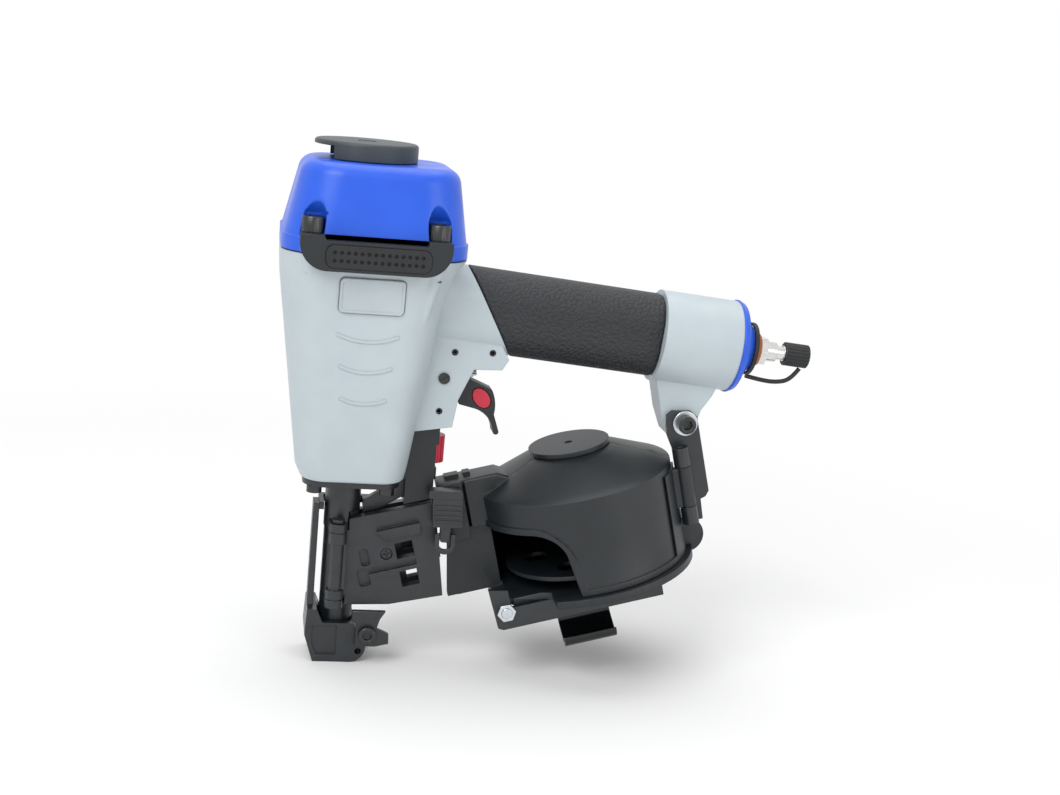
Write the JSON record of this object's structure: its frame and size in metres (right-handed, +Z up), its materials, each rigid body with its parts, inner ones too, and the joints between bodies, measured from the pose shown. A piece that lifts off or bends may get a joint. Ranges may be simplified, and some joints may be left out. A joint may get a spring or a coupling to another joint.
{
  "type": "pneumatic nail gun",
  "caption": "Coil-fed pneumatic roofing nailer: upright piston body, rubber-sleeved handle, hinged nose door, round tilted coil magazine and lifting contact foot.",
  "frame": {"origin": "centre of the nail outlet in the bottom face of the contact foot, on the driver axis", "axes": "+Z up along the driver axis, +X to the rear (handle and air plug), +Y to the tool's right-hand side; the magazine opens towards -Y"},
  "size_m": [0.2624, 0.104, 0.2509],
  "materials": {
    "painted_body": "satin hammered-fine silver-grey enamel on magnesium casting",
    "blue_cap": "satin blue enamel on casting",
    "black_plastic": "fine-textured moulded nylon",
    "black_steel": "black phosphated steel",
    "gloss_black": "gloss black enamel",
    "black_screws": "black oxide",
    "grip_rubber": "leather-stippled moulded rubber",
    "soft_rubber": "matt rubber",
    "exhaust_grey": "dark grey moulded nylon",
    "red_plastic": "red moulded plastic",
    "plate_metal": "satin light grey",
    "zinc": "bright zinc plated",
    "chrome": "bright nickel-chrome plate",
    "fibre_seal": "orange-brown fibre",
    "machined_steel": "ground steel",
    "spring_steel": "bright spring wire",
    "aluminium": "anodised"
  },
  "bodies": {
    "tool_body": {"housing": "painted_body", "cap_gasket": "soft_rubber", "cylinder_cap": "blue_cap", "cap_screws": "black_screws", "exhaust_screw": "black_screws", "side_pad_plate": "black_plastic", "side_pad_insert": "soft_rubber", "nameplate": "plate_metal", "cylinder_sleeve": "aluminium", "air_seals": "soft_rubber", "bumper": "soft_rubber", "nose": "black_steel", "nose_screws": "black_screws", "grip_sleeve": "grip_rubber", "end_cap": "blue_cap", "thread_seal": "fibre_seal", "air_plug": "chrome", "tether_ring": "soft_rubber", "cap_tether": "soft_rubber", "trigger_pin": "black_screws", "trigger_valve_body": "aluminium", "roll_pins": "black_screws", "arm_guard": "black_plastic", "feed_cylinder": "black_steel", "nose_door_pin": "black_steel", "magazine_body": "black_plastic", "magazine_bracket": "black_steel", "cover_hinge_pin": "black_steel", "bracket_washer": "zinc", "bracket_screw": "black_screws", "guide_rail": "black_steel", "rail_bolt": "zinc", "trigger_spring": "spring_steel", "contact_spring": "spring_steel", "head_valve_spring": "spring_steel"},
    "exhaust": {"exhaust_deflector": "exhaust_grey"},
    "piston_group": {"piston": "aluminium", "piston_ring": "machined_steel", "driver_blade": "machined_steel"},
    "head_valve": {"head_valve": "aluminium"},
    "trigger": {"trigger": "black_plastic", "trigger_insert": "red_plastic"},
    "valve_stem": {"trigger_valve_stem": "machined_steel"},
    "contact_arm": {"contact_foot": "black_steel", "foot_hook": "black_steel", "foot_screw": "black_screws", "contact_link": "black_steel"},
    "depth_wheel": {"depth_wheel": "red_plastic"},
    "feed_piston": {"feed_piston": "machined_steel", "feed_pawl": "machined_steel"},
    "nose_door": {"nose_door": "black_steel", "door_screw": "black_screws"},
    "door_latch": {"door_latch": "black_steel"},
    "latch_bail": {"latch_bail": "black_steel"},
    "magazine_cover": {"magazine_cover": "black_plastic"},
    "nail_tray": {"nail_tray": "black_plastic"},
    "shingle_guide": {"shingle_guide": "black_steel", "guide_lever_pin": "black_steel"},
    "guide_lever": {"guide_lever": "gloss_black"},
    "dust_cap": {"dust_cap": "soft_rubber"}
  },
  "joints": [
    {"name": "exhaust_turn", "type": "hinge", "parent": "tool_body", "child": "exhaust", "pos_m": [0, 0, 0.2425], "axis": [0, 0, 1], "continuous": true},
    {"name": "drive_stroke", "type": "slide", "parent": "tool_body", "child": "piston_group", "axis": [0, 0, -1], "range_m": [0, 0.058]},
    {"name": "head_valve_lift", "type": "slide", "parent": "tool_body", "child": "head_valve", "axis": [0, 0, 1], "range_m": [0, 0.005], "stiffness_N_per_m": 1200, "springref_m": -0.004, "deforming": ["head_valve_spring"]},
    {"name": "trigger_pull", "type": "hinge", "parent": "tool_body", "child": "trigger", "pos_m": [0.0427, 0, 0.144], "axis": [0, -1, 0], "range_deg": [0, 10], "stiffness_Nm_per_rad": 0.4, "springref_deg": -5.73},
    {"name": "valve_stem_lift", "type": "slide", "parent": "tool_body", "child": "valve_stem", "axis": [0, 0, 1], "range_m": [0, 0.0028], "deforming": ["trigger_spring"]},
    {"name": "contact_lift", "type": "slide", "parent": "tool_body", "child": "contact_arm", "axis": [0, 0, 1], "range_m": [0, 0.008], "stiffness_N_per_m": 1500, "springref_m": -0.012, "deforming": ["contact_spring"]},
    {"name": "depth_wheel_turn", "type": "hinge", "parent": "contact_arm", "child": "depth_wheel", "pos_m": [0.0412, 0, 0.106], "axis": [0, 0, 1], "range_deg": [-180, 180]},
    {"name": "feed_stroke", "type": "slide", "parent": "tool_body", "child": "feed_piston", "axis": [0.9659, 0, 0.2588], "range_m": [0, 0.009], "stiffness_N_per_m": 400, "springref_m": -0.005},
    {"name": "door_swing", "type": "hinge", "parent": "tool_body", "child": "nose_door", "pos_m": [-0.002, -0.013, 0.05], "axis": [0, 0, -1], "range_deg": [0, 95]},
    {"name": "latch_tilt", "type": "hinge", "parent": "nose_door", "child": "door_latch", "pos_m": [0.0492, -0.0139, 0.0665], "axis": [1, 0, 0], "range_deg": [0, 55], "stiffness_Nm_per_rad": 0.05, "springref_deg": -11.46},
    {"name": "bail_swing", "type": "hinge", "parent": "door_latch", "child": "latch_bail", "pos_m": [0.0492, -0.0139, 0.0665], "axis": [1, 0, 0], "range_deg": [-55, 0]},
    {"name": "cover_swing", "type": "hinge", "parent": "tool_body", "child": "magazine_cover", "pos_m": [0.16576, -0.0166, 0.09618], "axis": [-0.2588, 0, 0.9659], "range_deg": [0, 100]},
    {"name": "tray_height", "type": "slide", "parent": "tool_body", "child": "nail_tray", "axis": [-0.2588, 0, 0.9659], "range_m": [0, 0.016]},
    {"name": "guide_slide", "type": "slide", "parent": "tool_body", "child": "shingle_guide", "axis": [0.9659, 0, 0.2588], "range_m": [-0.012, 0.015]},
    {"name": "lever_turn", "type": "hinge", "parent": "shingle_guide", "child": "guide_lever", "pos_m": [0.11858, -0.018, 0.03654], "axis": [0.9659, 0, 0.2588], "range_deg": [0, 30]},
    {"name": "dust_cap_pull", "type": "slide", "parent": "tool_body", "child": "dust_cap", "axis": [0.9966, 0, -0.0819], "range_m": [0, 0.018]}
  ],
  "couplings": [
    {"joint": "valve_stem_lift", "follows": "trigger_pull", "m_per_rad": 0.0149},
    {"joint": "bail_swing", "follows": "latch_tilt", "ratio": -1}
  ]
}
